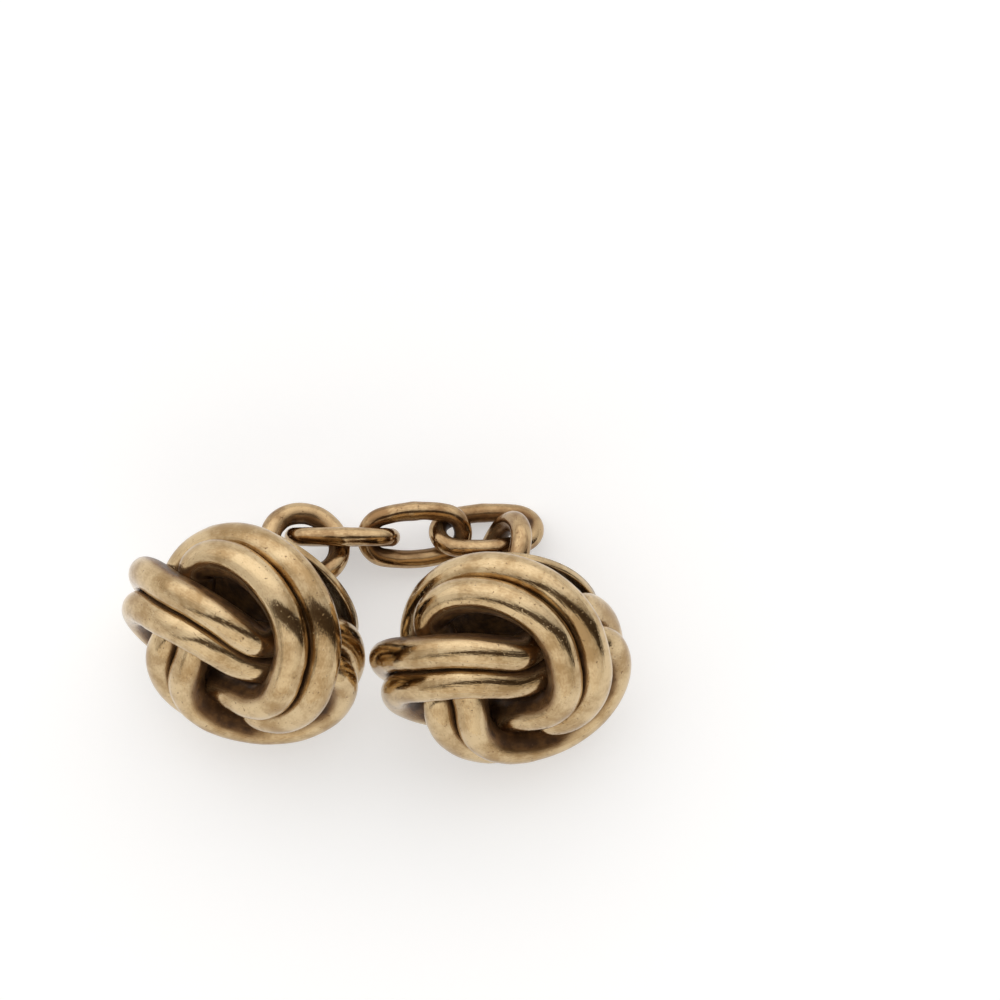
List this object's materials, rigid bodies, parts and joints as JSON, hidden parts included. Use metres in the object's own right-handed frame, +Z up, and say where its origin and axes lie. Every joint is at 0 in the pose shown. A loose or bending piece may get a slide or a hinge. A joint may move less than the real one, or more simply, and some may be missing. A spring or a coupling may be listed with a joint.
{
  "type": "cufflink",
  "caption": "Chain-link cufflink: love-knot heads of doubled gold wire on domed back plates, joined back to back by a short chain of oval links that goes through a shirt cuff.",
  "frame": {"origin": "on the table, under the middle of the outline, as the cufflink lies with its heads side by side", "axes": "+X from the left head to the right head, +Y from the faces towards the chain behind them, +Z up"},
  "size_m": [0.0255, 0.0134, 0.0119],
  "materials": {
    "knot_gold": "worn satin polish, old gold",
    "plate_gold": "dulled polish, old gold",
    "chain_gold": "worn polish, old gold"
  },
  "bodies": {
    "left_head": {"left_knot_inner_strand": "knot_gold", "left_knot_outer_strand": "knot_gold", "left_back_plate": "plate_gold", "left_loop": "chain_gold"},
    "left_link": {"left_chain_link": "chain_gold"},
    "middle_link": {"middle_chain_link": "chain_gold"},
    "right_link": {"right_chain_link": "chain_gold"},
    "right_head": {"right_knot_inner_strand": "knot_gold", "right_knot_outer_strand": "knot_gold", "right_back_plate": "plate_gold", "right_loop": "chain_gold"}
  },
  "joints": [
    {"name": "left_link_on_loop", "type": "hinge", "parent": "left_head", "child": "left_link", "pos_m": [-0.00363, 0.00444, 0.00272], "axis": [0.2456, 0.405, 0.8807], "range_deg": [0, 90]},
    {"name": "middle_link_on_left_link", "type": "hinge", "parent": "left_link", "child": "middle_link", "pos_m": [-0.00041, 0.00489, 0.00198], "axis": [0.0046, 0.9962, 0.087], "range_deg": [0, 60]},
    {"name": "right_link_on_middle_link", "type": "hinge", "parent": "middle_link", "child": "right_link", "pos_m": [0.00321, 0.00511, 0.00163], "axis": [0.124, -0.415, 0.9013], "range_deg": [0, 80]},
    {"name": "right_head_on_right_link", "type": "hinge", "parent": "right_link", "child": "right_head", "pos_m": [0.00635, 0.0039, 0.00243], "axis": [-0.866, 0.257, 0.4289], "range_deg": [0, 80]}
  ]
}
